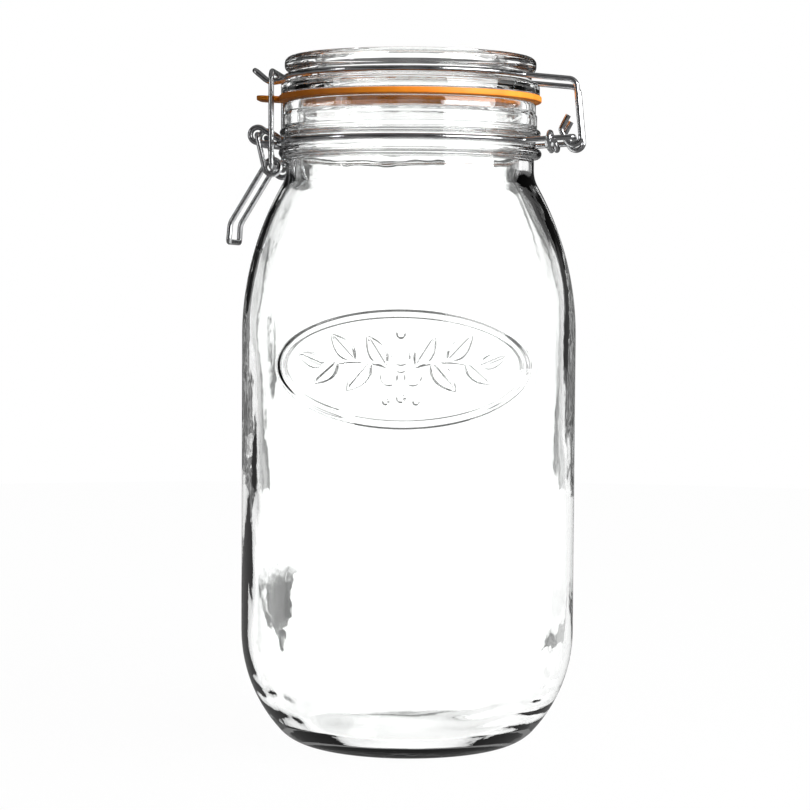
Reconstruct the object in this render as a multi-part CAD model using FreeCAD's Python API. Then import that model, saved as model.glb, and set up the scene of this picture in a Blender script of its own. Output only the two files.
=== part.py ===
import FreeCAD, Part
import math
import os

# A clip-top preserving jar: glass body, glass lid, rubber ring and four bent steel wires.
# Millimetres. Z is the jar's axis, pointing up; the origin is the centre of the face it
# stands on. The lid hinges on the +X side and the clip closes on the -X side.

V = FreeCAD.Vector

# ---- glass body ------------------------------------------------------------------------
body_radius = 61.25
shoulder_height = 149.3        # where the straight wall ends and the shoulder begins
neck_start = 210.0             # where the shoulder's hollow ends and the neck begins
shoulder_fillet = 12.0         # hollow curve from the shoulder into the neck
wall = 3.6
heel_small_radius = 15.0
heel_big_radius = 54.0
heel_turn = 48.0               # degrees of the heel that the small radius takes
base_thickness = 6.0
foot_width = 2.5               # flat ring that the jar stands on
punt_height = 3.5              # hollow under the base
inner_heel_small_radius = 14.0
inner_heel_big_radius = 46.0
inner_heel_turn = 50.0
inner_shoulder_fillet = 12.0

# ---- oval line pressed on the front of the body ----------------------------------------
oval_drop = 9.5                # its centre below the height where the shoulder begins
oval_half_angle = 47.0         # degrees round the body
oval_half_height = 21.0
oval_line_width = 1.6
oval_rise = 0.7
oval_turn = 3.0                # degrees round from -Y towards +X

# ---- neck, bottom to top ---------------------------------------------------------------
neck_radius = 45.4
neck_bore_radius = 41.2
lower_bead_height = 214.3
lower_bead_width = 3.4
lower_bead_rise = 2.5
groove_width = 4.4             # holds two turns of the neck wire
groove_radius = 45.9
upper_bead_width = 2.6
upper_bead_rise = 1.6
collar_radius = 46.4
collar_width = 5.4
rim_radius = 45.9
rim_width = 4.2
rim_rounding = 0.8

# ---- rubber ring -----------------------------------------------------------------------
ring_gap = 0.3                 # the ring travels with the lid, just clear of the rim
ring_radius = 48.0
ring_thickness = 2.2
tab_reach = 56.3
tab_half_width = 6.5
tab_lift = 0.8
tab_thickness = 1.8
ring_lip_depth = 1.9           # the lip that hangs inside the jar's mouth
ring_lip_gap = 1.0             # between the lip and the neck's bore

# ---- glass lid -------------------------------------------------------------------------
plug_radius = 38.4
plug_depth = 7.3
plug_chamfer = 1.2
plug_clearance = 0.2           # between the plug and the rubber ring's bore
skirt_radius = 47.3
skirt_width = 4.6
flange_radius = 46.0
flange_width = 5.5
flange_rounding = 2.3
lid_groove_depth = 1.7
lid_groove_width = 3.8
lid_dish_depth = 12.8
lid_dish_radius = 33.0
lid_dish_taper = 1.6
lid_dish_corner = 3.0

# ---- bent wires ------------------------------------------------------------------------
wire_radius = 1.0
wire_gap = 0.3                 # between wires that pass each other
seat_gap = 0.05                # between a wire and the groove that holds it
curl_radius = 2.75             # centre line of every eye and curl

# hinge
hinge_reach = 60.2             # jar axis to the hinge's pin
hinge_leg_spacing = 36.0
hook_radius = 2.7
hook_stub_corner = (-4.6, 2.6)     # x, z from the pin
hook_stub_end = (-1.9, 7.8)
hinge_corner = (0.7, 20.5)         # top of the lid wire's leg, x and z from the pin
leg_corner_radius = 3.0
tie_reach = 50.9               # jar axis to the wire that ties the hinge tongue
tongue_lift = 1.3              # the hinge tongue rises this much from the neck to the pin

# clip
eye_reach = 54.7
eye_lift = 2.5                 # eye centre above the neck wire
eye_spacing = 21.2             # across the jar, centre to centre
curl_offset = (5.6, -11.7)     # lever curl's centre from the eye's, x and z
bar_gap = 0.45                 # between the clip's bar and the tongue under it
handle_bend = (-10.0, -32.2)   # x, z from the eye
handle_end = (-10.5, -38.9)
handle_end_half_width = 11.6
pin_overhang = 0.6             # pin end past the curl or eye that it goes through
small_bend = 1.4               # centre line of the tightest bends

# lid tongue under the clip's bar
tongue_half_width = 3.0
tongue_dip = (-52.3, -1.1)     # x from the axis, z from the lid wire
tongue_end = (-57.2, 3.0)

# ---- shoulder arc: it touches the wall and the hollow, which touches the neck ----------
arc_drop = neck_start - shoulder_height
arc_step = neck_radius + shoulder_fillet - body_radius
shoulder_radius = ((arc_step ** 2 + arc_drop ** 2 - shoulder_fillet ** 2)
                   / (2 * (shoulder_fillet - arc_step)))

# ---- heights worked out from the above -------------------------------------------------
groove_bottom = lower_bead_height + lower_bead_width
groove_top = groove_bottom + groove_width
upper_bead_top = groove_top + upper_bead_width
collar_top = upper_bead_top + collar_width
rim_top = collar_top + rim_width
ring_bottom = rim_top + ring_gap
ring_top = ring_bottom + ring_thickness
skirt_top = ring_top + skirt_width
flange_bottom = skirt_top + lid_groove_width
lid_top = flange_bottom + flange_width
ring_bore_radius = plug_radius + plug_clearance
ring_lip_radius = neck_bore_radius - ring_lip_gap

neck_wire_radius = groove_radius + seat_gap + wire_radius
neck_wire_height = (groove_bottom + groove_top) / 2 - 0.15
front_wire_height = groove_bottom + wire_radius + seat_gap
lid_groove_radius = flange_radius - lid_groove_depth
lid_wire_radius = lid_groove_radius + seat_gap + wire_radius
lid_wire_height = skirt_top + lid_groove_width / 2

eye = V(-eye_reach, -eye_spacing / 2, neck_wire_height + eye_lift)
crank_y = eye.y - 2 * wire_radius - wire_gap
curl_pitch = 2 * wire_radius + 0.1
link_y = crank_y - 2 * wire_radius - wire_gap
lever_curl = V(eye.x + curl_offset[0], crank_y, eye.z + curl_offset[1])
hook_y = -hinge_leg_spacing / 2
tongue_y = hook_y - 2 * wire_radius - 0.8
hinge_pin = V(hinge_reach, 0, neck_wire_height + tongue_lift)

# the clip's bar passes over the tongue, part of the way down from the ring to the dip
tongue_share = (-lever_curl.x - lid_wire_radius) / (-tongue_dip[0] - lid_wire_radius)
bar_height = lid_wire_height + tongue_share * tongue_dip[1] + 2 * wire_radius + bar_gap


# ---- profile helpers -------------------------------------------------------------------
def line(a, b):
    return Part.makeLine(V(a[0], 0, a[1]), V(b[0], 0, b[1]))


def bow(a, b, rise):
    """An arc from a to b that stands `rise` to the right of the way from a to b."""
    dx = b[0] - a[0]
    dz = b[1] - a[1]
    span = math.hypot(dx, dz)
    middle = ((a[0] + b[0]) / 2 + rise * dz / span, (a[1] + b[1]) / 2 - rise * dx / span)
    return Part.Arc(V(a[0], 0, a[1]), V(middle[0], 0, middle[1]), V(b[0], 0, b[1])).toShape()


def turn(centre, radius, start, end):
    """An arc about centre, from one angle to another in degrees, and its two ends."""
    def at(angle):
        a = math.radians(angle)
        return (centre[0] + radius * math.cos(a), centre[1] + radius * math.sin(a))
    points = [at(start), at((start + end) / 2), at(end)]
    arc = Part.Arc(*[V(p[0], 0, p[1]) for p in points]).toShape()
    return arc, points[0], points[2]


def revolved(edges):
    face = Part.Face(Part.Wire(Part.__sortEdges__(edges)))
    return face.revolve(V(0, 0, 0), V(0, 0, 1), 360)


def chain(*items):
    """Edges of an outline: arcs as they are, points joined by straight lines."""
    edges = []
    last = None
    for item in items:
        if isinstance(item, tuple) and len(item) == 3:
            arc, first, end = item
            if last is not None and math.dist(last, first) > 1e-6:
                edges.append(line(last, first))
            edges.append(arc)
            last = end
        else:
            if last is not None and math.dist(last, item) > 1e-6:
                edges.append(line(last, item))
            last = item
    return edges


def bead(start, end, rise):
    return bow(start, end, rise), start, end


# ---- wire helpers ----------------------------------------------------------------------
def bent_path(points, bends):
    """Straight runs through the points, with an arc at each corner. A bend of None takes
    the largest radius that its two runs allow."""
    edges = []
    last = points[0]
    for before, corner, after, bend in zip(points, points[1:], points[2:], bends):
        back = before - corner
        on = after - corner
        half_turn = (math.pi - back.getAngle(on)) / 2
        room = min(back.Length, on.Length) / 2
        tangent = room if bend is None else min(room, bend * math.tan(half_turn))
        radius = tangent / math.tan(half_turn)
        back.normalize()
        on.normalize()
        start = corner + back * tangent
        end = corner + on * tangent
        inward = back + on
        inward.normalize()
        centre_distance = radius / math.cos(half_turn)
        middle = corner + inward * (centre_distance - radius)
        if (start - last).Length > 1e-6:
            edges.append(Part.makeLine(last, start))
        edges.append(Part.Arc(start, middle, end).toShape())
        last = end
    if (points[-1] - last).Length > 1e-6:
        edges.append(Part.makeLine(last, points[-1]))
    return Part.Wire(edges)


def swept(path):
    first = path.Edges[0]
    start = first.valueAt(first.FirstParameter)
    ahead = first.tangentAt(first.FirstParameter)
    section = Part.Wire([Part.makeCircle(wire_radius, start, ahead)])
    return path.makePipeShell([section], True, False)


def mirrored_pair(half):
    """The half wire on the -Y side, joined to its mirror image at Y = 0."""
    other = half.mirror(V(0, 0, 0), V(0, 1, 0))
    return half.fuse(other).removeSplitter()


def tangent_angle(centre, radius, point, side):
    """Angle, seen from centre, where a line from point touches a circle in an X-Z plane."""
    dx = point.x - centre.x
    dz = point.z - centre.z
    return math.atan2(dz, dx) + side * math.acos(radius / math.hypot(dx, dz))


def curl_points(centre, radius, start, end, y_start, y_end):
    """Corners of a polygon drawn round a curl about Y, so that full bends give the curl."""
    count = max(2, math.ceil(abs(end - start) / math.radians(42)))
    step = (end - start) / count
    corner_radius = radius / math.cos(step / 2)
    points = []
    for k in range(count):
        share = (k + 0.5) / count
        angle = start + (k + 0.5) * step
        y = y_start + share * (y_end - y_start)
        points.append(V(centre.x + corner_radius * math.cos(angle), y,
                        centre.z + corner_radius * math.sin(angle)))
    return points


def ring_points(radius, height, start, end):
    """Corners of a polygon drawn round a level ring, between two angles in radians."""
    count = math.ceil(abs(end - start) / math.radians(15))
    step = (end - start) / count
    corner_radius = radius / math.cos(step / 2)
    angles = [start + (k + 0.5) * step for k in range(count)]
    return [V(corner_radius * math.cos(a), corner_radius * math.sin(a), height) for a in angles]


def leave_ring(radius, height, angle, y, heading):
    """Where the tangent at an angle of the ring crosses the plane at y."""
    run = (y - radius * math.sin(angle)) / (heading * math.cos(angle))
    return V(radius * math.cos(angle) - heading * run * math.sin(angle), y, height)


tongue_angle = 2 * math.pi - math.asin((-tongue_y + 3.5) / neck_wire_radius)
tongue_root = leave_ring(neck_wire_radius, neck_wire_height, tongue_angle, tongue_y, 1)


def tongue_height(x):
    """Height of the hinge tongue's legs, which rise evenly from the neck to the pin."""
    share = (x - tongue_root.x) / (hinge_pin.x - tongue_root.x)
    return tongue_root.z + share * (hinge_pin.z - tongue_root.z)


# ---- the pieces ------------------------------------------------------------------------
def oval_line(arc_centre):
    """The raised oval line: a band that lies on the wall and the start of the shoulder."""
    lean = math.degrees(math.asin(min(0.9, 2 * oval_half_height / shoulder_radius)))
    outer = turn(arc_centre, shoulder_radius + oval_rise, 0, lean)
    inner = turn(arc_centre, shoulder_radius - wall / 3, 0, lean)
    low = shoulder_height - oval_drop - 2 * oval_half_height
    skin = revolved(chain(
        (body_radius - wall / 3, low),
        (body_radius + oval_rise, low),
        outer,
        (inner[0], inner[2], inner[1]),
        (body_radius - wall / 3, low),
    ))
    half_width = body_radius * math.sin(math.radians(oval_half_angle))
    side_line_width = oval_line_width * math.cos(math.radians(oval_half_angle))
    centre = V(0, 0, shoulder_height - oval_drop)

    def prism(across, up):
        ellipse = Part.Ellipse(centre + V(across, 0, 0), centre + V(0, 0, up), centre)
        return Part.Face(Part.Wire([ellipse.toShape()])).extrude(V(0, -2 * body_radius, 0))

    band = prism(half_width, oval_half_height).cut(
        prism(half_width - side_line_width, oval_half_height - oval_line_width))
    band = band.common(skin)
    band.rotate(V(0, 0, 0), V(0, 0, 1), oval_turn)
    return band


def jar_glass():
    arc_centre = (body_radius - shoulder_radius, shoulder_height)
    heel_angle = heel_turn - 90
    small_end = math.radians(heel_turn)
    foot_radius = (body_radius - heel_big_radius * (1 - math.sin(small_end))
                   - heel_small_radius * math.sin(small_end))
    big_centre_height = (heel_small_radius * (1 - math.cos(small_end))
                         + heel_big_radius * math.cos(small_end))
    small_heel = turn((foot_radius, heel_small_radius), heel_small_radius, -90, heel_angle)
    big_heel = turn((body_radius - heel_big_radius, big_centre_height), heel_big_radius,
                    heel_angle, 0)

    def shoulder(radius, fillet, neck):
        lean = math.degrees(math.acos((neck - arc_centre[0] + fillet) / (radius + fillet)))
        height = arc_centre[1] + (radius + fillet) * math.sin(math.radians(lean))
        return (turn(arc_centre, radius, 0, lean),
                turn((neck + fillet, height), fillet, 180 + lean, 180))

    outer_shoulder, outer_fillet = shoulder(shoulder_radius, shoulder_fillet, neck_radius)
    inner_shoulder, inner_fillet = shoulder(shoulder_radius - wall, inner_shoulder_fillet,
                                            neck_bore_radius)
    lower_bead = bead((neck_radius, lower_bead_height), (groove_radius, groove_bottom),
                      lower_bead_rise)
    upper_bead = bead((groove_radius, groove_top), (collar_radius, upper_bead_top),
                      upper_bead_rise)
    outer_rim = turn((rim_radius - rim_rounding, rim_top - rim_rounding), rim_rounding, 0, 90)
    inner_rim = turn((neck_bore_radius + rim_rounding, rim_top - rim_rounding), rim_rounding,
                     90, 180)

    inside_radius = body_radius - wall
    inner_turn = math.radians(inner_heel_turn)
    floor_radius = (inside_radius - inner_heel_big_radius * (1 - math.sin(inner_turn))
                    - inner_heel_small_radius * math.sin(inner_turn))
    inner_big_height = (base_thickness + inner_heel_small_radius * (1 - math.cos(inner_turn))
                        + inner_heel_big_radius * math.cos(inner_turn))
    inner_big = turn((inside_radius - inner_heel_big_radius, inner_big_height),
                     inner_heel_big_radius, 0, inner_heel_turn - 90)
    inner_small = turn((floor_radius, base_thickness + inner_heel_small_radius),
                       inner_heel_small_radius, inner_heel_turn - 90, -90)

    def dome(edge_radius, edge_height, rise, inward):
        """Half of the punt's arc: level at the axis, falling to the edge."""
        radius = (edge_radius ** 2 + rise ** 2) / (2 * rise)
        spread = math.degrees(math.asin(edge_radius / radius))
        ends = (90 - spread, 90) if inward else (90, 90 - spread)
        return turn((0, edge_height + rise - radius), radius, *ends)

    edges = chain(
        small_heel,
        big_heel,
        outer_shoulder,
        outer_fillet,
        lower_bead,
        upper_bead,
        (collar_radius, collar_top - (collar_radius - rim_radius)),
        (rim_radius, collar_top),
        outer_rim,
        inner_rim,
        (inner_fillet[0], inner_fillet[2], inner_fillet[1]),
        (inner_shoulder[0], inner_shoulder[2], inner_shoulder[1]),
        inner_big,
        inner_small,
        dome(floor_radius, base_thickness, punt_height, True),
        (0, punt_height),
        dome(foot_radius - foot_width, 0, punt_height, False),
        (foot_radius, 0),
    )
    return revolved(edges).fuse(oval_line(arc_centre)).removeSplitter()


def lid_glass():
    groove_mouth = (skirt_radius, skirt_top - 0.9)
    flange_centre = flange_bottom + flange_rounding
    lower_round = turn((flange_radius - flange_rounding, flange_centre), flange_rounding, -90, 0)
    upper_round = turn((flange_radius - flange_rounding, lid_top - flange_rounding),
                       flange_rounding, 0, 90)
    plug_bottom = ring_top - plug_depth
    dish_floor = lid_top - lid_dish_depth
    edges = chain(
        (0, plug_bottom),
        (plug_radius - plug_chamfer, plug_bottom),
        (plug_radius, plug_bottom + plug_chamfer),
        (plug_radius, ring_top),
        (skirt_radius, ring_top),
        groove_mouth,
        (lid_groove_radius, skirt_top),
        (lid_groove_radius, flange_bottom),
        lower_round,
        upper_round,
        (lid_dish_radius + lid_dish_taper, lid_top),
        (lid_dish_radius, dish_floor + lid_dish_corner),
        (lid_dish_radius - lid_dish_corner, dish_floor),
        (0, dish_floor),
        (0, plug_bottom),
    )
    return revolved(edges)


def rubber_ring():
    ring = revolved(chain(
        (ring_bore_radius, ring_bottom - ring_lip_depth),
        (ring_lip_radius, ring_bottom - ring_lip_depth),
        (ring_lip_radius, ring_bottom),
        (ring_radius, ring_bottom),
        (ring_radius, ring_top),
        (ring_bore_radius, ring_top),
        (ring_bore_radius, ring_bottom - ring_lip_depth),
    ))
    root = ring_radius - 2.0
    side = [
        V(-root, 0, ring_bottom + 0.2),
        V(-root, 0, ring_bottom + 0.2 + tab_thickness),
        V(-ring_radius - 1.5, 0, ring_bottom + 0.2 + tab_thickness),
        V(-tab_reach, 0, ring_bottom + tab_lift + tab_thickness),
        V(-tab_reach, 0, ring_bottom + tab_lift),
        V(-ring_radius - 1.5, 0, ring_bottom + 0.2),
        V(-root, 0, ring_bottom + 0.2),
    ]
    tab = Part.Face(Part.makePolygon(side)).extrude(V(0, 2 * tab_half_width, 0))
    tab.translate(V(0, -tab_half_width, 0))
    corners = [e for e in tab.Edges
               if abs(e.CenterOfMass.x + tab_reach) < 0.01 and abs(e.tangentAt(0).z) > 0.9]
    tab = tab.makeFillet(tab_half_width * 0.45, corners)
    return ring.fuse(tab).removeSplitter()


def neck_wire():
    """One wire round the neck: a curl each side of the clip, a tongue at the hinge."""
    front_angle = math.pi + math.asin((-eye.y - 2.5) / neck_wire_radius)
    side_angle = math.pi + math.asin((-eye.y + 2.5) / neck_wire_radius)
    front = V(-neck_wire_radius, 0, front_wire_height)
    front_bend = V(-neck_wire_radius - 0.35, eye.y, front_wire_height)
    side_bend = leave_ring(neck_wire_radius, neck_wire_height, side_angle, eye.y, 1)
    into_curl = tangent_angle(eye, curl_radius, front_bend, -1)
    out_of_curl = tangent_angle(eye, curl_radius, side_bend, 1) - 2 * math.pi
    points = [front, front_bend]
    bends = [small_bend]
    curl = curl_points(eye, curl_radius, into_curl, out_of_curl, eye.y, eye.y)
    points += curl
    bends += [None] * len(curl)
    points.append(side_bend)
    bends.append(small_bend)
    ring = ring_points(neck_wire_radius, neck_wire_height, side_angle, tongue_angle)
    points += ring
    bends += [None] * len(ring)
    points.append(tongue_root)
    bends.append(leg_corner_radius)
    points += [V(hinge_pin.x, tongue_y, hinge_pin.z), V(hinge_pin.x, 0, hinge_pin.z)]
    bends.append(small_bend)
    return mirrored_pair(swept(bent_path(points, bends)))


def hinge_tie():
    """The short wire behind the neck, wrapped once round each leg of the hinge tongue."""
    wrap = 2 * wire_radius + seat_gap
    turns = math.radians(400)
    count = 10
    step = turns / count
    corner_radius = wrap / math.cos(step / 2)
    points = [V(tie_reach, 0, tongue_height(tie_reach) - wrap)]
    for k in range(count):
        angle = -math.pi / 2 - (k + 0.5) * step
        along = tie_reach + curl_pitch * (k + 0.5) * step / (2 * math.pi)
        points.append(V(along, tongue_y + corner_radius * math.cos(angle),
                        tongue_height(along) + corner_radius * math.sin(angle)))
    angle = -math.pi / 2 - turns
    tangent = V(0, math.sin(angle), -math.cos(angle))
    along = tie_reach + curl_pitch * turns / (2 * math.pi)
    points.append(V(along, tongue_y + wrap * math.cos(angle),
                    tongue_height(along) + wrap * math.sin(angle)) + tangent * 0.8)
    return mirrored_pair(swept(bent_path(points, [None] * count)))


def lid_wire():
    """One wire round the lid: hooks at the hinge, a tongue under the clip's bar."""
    pin = V(hinge_pin.x, hook_y, hinge_pin.z)
    stub_end = pin + V(hook_stub_end[0], 0, hook_stub_end[1])
    stub_corner = pin + V(hook_stub_corner[0], 0, hook_stub_corner[1])
    corner = pin + V(hinge_corner[0], 0, hinge_corner[1])
    into_hook = tangent_angle(pin, hook_radius, stub_corner, 1)
    out_of_hook = tangent_angle(pin, hook_radius, corner, -1) + 2 * math.pi
    points = [stub_end, stub_corner]
    bends = [small_bend]
    hook = curl_points(pin, hook_radius, into_hook, out_of_hook, hook_y, hook_y)
    points += hook
    bends += [None] * len(hook)
    rear_angle = 2 * math.pi - math.asin((-hook_y + 3.5) / lid_wire_radius)
    front_angle = math.pi + math.asin((tongue_half_width + 3.0) / lid_wire_radius)
    points.append(corner)
    bends.append(leg_corner_radius)
    points.append(leave_ring(lid_wire_radius, lid_wire_height, rear_angle, hook_y, 1))
    bends.append(leg_corner_radius)
    ring = ring_points(lid_wire_radius, lid_wire_height, rear_angle, front_angle)
    points += ring
    bends += [None] * len(ring)
    points.append(leave_ring(lid_wire_radius, lid_wire_height, front_angle,
                             -tongue_half_width, -1))
    bends.append(small_bend)
    dip = V(tongue_dip[0], -tongue_half_width, lid_wire_height + tongue_dip[1])
    end = V(tongue_end[0], -tongue_half_width, lid_wire_height + tongue_end[1])
    points += [dip, end, V(end.x, 0, end.z)]
    bends += [leg_corner_radius, small_bend]
    return mirrored_pair(swept(bent_path(points, bends)))


def clip_lever():
    """Pins in the neck wire's eyes, a curl each side for the link, and a U handle."""
    bend_point = V(eye.x + handle_bend[0], crank_y + curl_pitch, eye.z + handle_bend[1])
    end_point = V(eye.x + handle_end[0], -handle_end_half_width, eye.z + handle_end[1])
    into_curl = tangent_angle(lever_curl, curl_radius, eye, 1)
    out_of_curl = tangent_angle(lever_curl, curl_radius, bend_point, -1)
    while out_of_curl < into_curl + math.pi:
        out_of_curl += 2 * math.pi
    inner_end = eye.y + wire_radius + pin_overhang
    points = [V(eye.x, inner_end, eye.z), V(eye.x, crank_y, eye.z)]
    bends = [small_bend]
    curl = curl_points(lever_curl, curl_radius, into_curl, out_of_curl, crank_y,
                       crank_y + curl_pitch)
    points += curl
    bends += [None] * len(curl)
    points += [bend_point, end_point, V(end_point.x, 0, end_point.z)]
    bends += [2 * leg_corner_radius, small_bend]
    return mirrored_pair(swept(bent_path(points, bends)))


def clip_link():
    """Pins in the lever's curls and a bar that closes over the lid's tongue."""
    inner_end = crank_y + curl_pitch + wire_radius + pin_overhang
    points = [
        V(lever_curl.x, inner_end, lever_curl.z),
        V(lever_curl.x, link_y, lever_curl.z),
        V(lever_curl.x, link_y, bar_height),
        V(lever_curl.x, 0, bar_height),
    ]
    return mirrored_pair(swept(bent_path(points, [small_bend, leg_corner_radius])))


pieces = {
    "jar_glass": jar_glass,
    "neck_wire": neck_wire,
    "hinge_tie": hinge_tie,
    "lid_glass": lid_glass,
    "rubber_ring": rubber_ring,
    "lid_wire": lid_wire,
    "clip_lever": clip_lever,
    "clip_link": clip_link,
}

os.makedirs("parts", exist_ok=True)
for name, build in pieces.items():
    shape = build()
    solids = shape.Solids
    if len(solids) == 1:
        shape = solids[0]
    box = shape.BoundBox
    print(f"{name}: {len(solids)} solid, valid {shape.isValid()}, {shape.Volume / 1000:.2f} cm3,"
          f" x {box.XMin:.2f} {box.XMax:.2f} y {box.YMin:.2f} {box.YMax:.2f}"
          f" z {box.ZMin:.2f} {box.ZMax:.2f}")
    shape.exportStep(f"parts/{name}.step")
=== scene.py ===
# %% [markdown]
# # A clip-top preserving jar
#
# The real jar is pressed and blown glass: a tall body with a narrower neck, and a thick
# glass lid that shuts on a flat rubber ring. Bent steel wires make the hinge on one side
# and the clip on the other. The construction model gives the frame: where every wire runs
# and which body it moves with. Here the glass and the rubber are modelled again, finely
# enough to bend light, and every surface gets its finish.

# %% Load the construction model
import math

import bmesh
import bpy
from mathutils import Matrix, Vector, noise


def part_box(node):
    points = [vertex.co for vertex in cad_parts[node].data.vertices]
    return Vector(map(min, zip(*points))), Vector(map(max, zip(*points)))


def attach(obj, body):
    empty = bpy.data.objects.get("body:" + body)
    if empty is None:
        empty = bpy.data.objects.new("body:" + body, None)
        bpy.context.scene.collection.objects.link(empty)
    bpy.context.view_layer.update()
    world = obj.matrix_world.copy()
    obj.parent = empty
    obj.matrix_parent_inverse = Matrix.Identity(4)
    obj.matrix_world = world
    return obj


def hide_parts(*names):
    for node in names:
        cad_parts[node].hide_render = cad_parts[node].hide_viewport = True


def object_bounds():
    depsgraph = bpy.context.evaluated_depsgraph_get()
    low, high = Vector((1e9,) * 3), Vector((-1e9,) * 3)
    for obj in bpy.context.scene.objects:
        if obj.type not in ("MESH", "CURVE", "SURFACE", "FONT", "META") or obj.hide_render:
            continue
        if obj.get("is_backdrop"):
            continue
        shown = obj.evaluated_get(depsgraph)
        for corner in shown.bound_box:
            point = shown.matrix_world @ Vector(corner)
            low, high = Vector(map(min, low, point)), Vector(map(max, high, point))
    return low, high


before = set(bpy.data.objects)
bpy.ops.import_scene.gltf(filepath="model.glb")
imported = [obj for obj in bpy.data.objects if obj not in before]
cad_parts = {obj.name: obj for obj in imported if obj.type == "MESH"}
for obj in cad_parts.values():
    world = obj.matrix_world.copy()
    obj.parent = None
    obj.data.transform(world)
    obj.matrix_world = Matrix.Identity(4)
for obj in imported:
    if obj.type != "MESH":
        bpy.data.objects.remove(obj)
cad_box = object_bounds()
mm = 0.001


def corners_of(node):
    """Lowest and highest corner of a construction node, in millimetres."""
    return [[round(v / mm, 2) for v in corner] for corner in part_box(node)]


for node in ("jar_glass", "lid_glass", "rubber_ring"):
    print(node, "from", corners_of(node)[0], "to", corners_of(node)[1])


# %% [markdown]
# ## Turned shapes
#
# Glass parts and the rubber ring are round, so each one is an outline turned about the
# jar's axis. The outline is drawn in millimetres as radius and height. Straight stretches
# are cut into short steps as well as the arcs, because glass shows every uneven face as a
# ripple, and because the waves that real glass has need points to move.

# %% Outline helpers
def straight(start, end, step):
    """Points from start to end, without the end."""
    count = max(1, round(math.dist(start, end) / step))
    return [(start[0] + (end[0] - start[0]) * k / count,
             start[1] + (end[1] - start[1]) * k / count) for k in range(count)]


def between(start, end, step):
    """Points from start to end, without either: a straight that joins two arcs."""
    return straight(start, end, step)[1:]


def arc(centre, radius, start, end, count):
    """Points round a centre between two angles in degrees, both ends included."""
    angles = [math.radians(start + (end - start) * k / count) for k in range(count + 1)]
    return [(centre[0] + radius * math.cos(a), centre[1] + radius * math.sin(a)) for a in angles]


def bow(start, end, rise, count):
    """An arc from start to end that bulges by rise to the right of the way."""
    span = math.dist(start, end)
    radius = (span * span / 4 + rise * rise) / (2 * rise)
    middle = ((start[0] + end[0]) / 2, (start[1] + end[1]) / 2)
    right = ((end[1] - start[1]) / span, (start[0] - end[0]) / span)
    centre = (middle[0] - right[0] * (radius - rise), middle[1] - right[1] * (radius - rise))
    first = math.degrees(math.atan2(start[1] - centre[1], start[0] - centre[0]))
    last = math.degrees(math.atan2(end[1] - centre[1], end[0] - centre[0]))
    if last < first:
        last += 360
    return arc(centre, radius, first, last, count)


def fade(value, low, high):
    """0 below low, 1 above high, smooth between."""
    t = min(1.0, max(0.0, (value - low) / (high - low)))
    return t * t * (3 - 2 * t)


# %% Spin an outline, and finish a piece
glass_steps = 168
same_point = 0.002


def turned(outline, closed=False):
    """A closed shell: the outline, from axis to axis or closed on itself, spun round Z."""
    shell = bmesh.new()
    verts = [shell.verts.new((radius, 0, height)) for radius, height in outline]
    following = verts[1:] + verts[:1] if closed else verts[1:]
    edges = [shell.edges.new(pair) for pair in zip(verts, following)]
    bmesh.ops.spin(shell, geom=verts + edges, cent=(0, 0, 0), axis=(0, 0, 1), dvec=(0, 0, 0),
                   angle=2 * math.pi, steps=glass_steps, use_merge=True, use_duplicate=False)
    bmesh.ops.remove_doubles(shell, verts=shell.verts, dist=same_point)
    bmesh.ops.recalc_face_normals(shell, faces=shell.faces)
    return shell


def finished(name, shell, material, smooth=True):
    """The mesh in metres, as a piece at the origin."""
    bmesh.ops.scale(shell, vec=(mm, mm, mm), verts=shell.verts)
    for face in shell.faces:
        face.smooth = smooth
    mesh = bpy.data.meshes.new(name)
    shell.to_mesh(mesh)
    shell.free()
    piece = bpy.data.objects.new(name, mesh)
    bpy.context.scene.collection.objects.link(piece)
    mesh.materials.append(material)
    print(name, len(mesh.vertices), "points", len(mesh.polygons), "faces")
    return piece


print("turned shapes have", glass_steps, "steps of", round(360 / glass_steps, 2), "degrees")


# %% [markdown]
# ## Finishes
#
# Three materials make the whole jar, and no real surface is quite even. One small node
# group makes the soft mottling that all of them share, each at its own scale: a cloud of
# noise on Object coordinates, spread between a low and a high value. A group is better
# than a copy in each material, because a change to it reaches them all.

# %% Mottling group
def mottle_group():
    """A node group: noise at a scale, spread from a low to a high value."""
    group = bpy.data.node_groups.new("mottle", "ShaderNodeTree")
    for name in ("Scale", "Low", "High"):
        group.interface.new_socket(name=name, in_out="INPUT", socket_type="NodeSocketFloat")
    group.interface.new_socket(name="Value", in_out="OUTPUT", socket_type="NodeSocketFloat")
    inside = group.nodes.new("NodeGroupInput")
    out = group.nodes.new("NodeGroupOutput")
    place = group.nodes.new("ShaderNodeTexCoord")
    cloud = group.nodes.new("ShaderNodeTexNoise")
    cloud.inputs["Detail"].default_value = 3.0
    span = group.nodes.new("ShaderNodeMapRange")
    span.inputs["From Min"].default_value = 0.3
    span.inputs["From Max"].default_value = 0.7
    group.links.new(place.outputs["Object"], cloud.inputs["Vector"])
    group.links.new(inside.outputs["Scale"], cloud.inputs["Scale"])
    group.links.new(cloud.outputs["Fac"], span.inputs["Value"])
    group.links.new(inside.outputs["Low"], span.inputs["To Min"])
    group.links.new(inside.outputs["High"], span.inputs["To Max"])
    group.links.new(span.outputs["Result"], out.inputs["Value"])
    return group


mottle = mottle_group()
print("node group", mottle.name, "takes", [item.name for item in mottle.interface.items_tree])


# %% Material helpers
def new_material(name):
    """A material with its node tree and its Principled shader."""
    material = bpy.data.materials.new(name)
    material.use_nodes = True
    return material, material.node_tree, material.node_tree.nodes["Principled BSDF"]


def mottled(tree, scale, low, high):
    """The mottling group's value, between low and high."""
    node = tree.nodes.new("ShaderNodeGroup")
    node.node_tree = mottle
    for name, number in (("Scale", scale), ("Low", low), ("High", high)):
        node.inputs[name].default_value = number
    return node.outputs["Value"]


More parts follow.
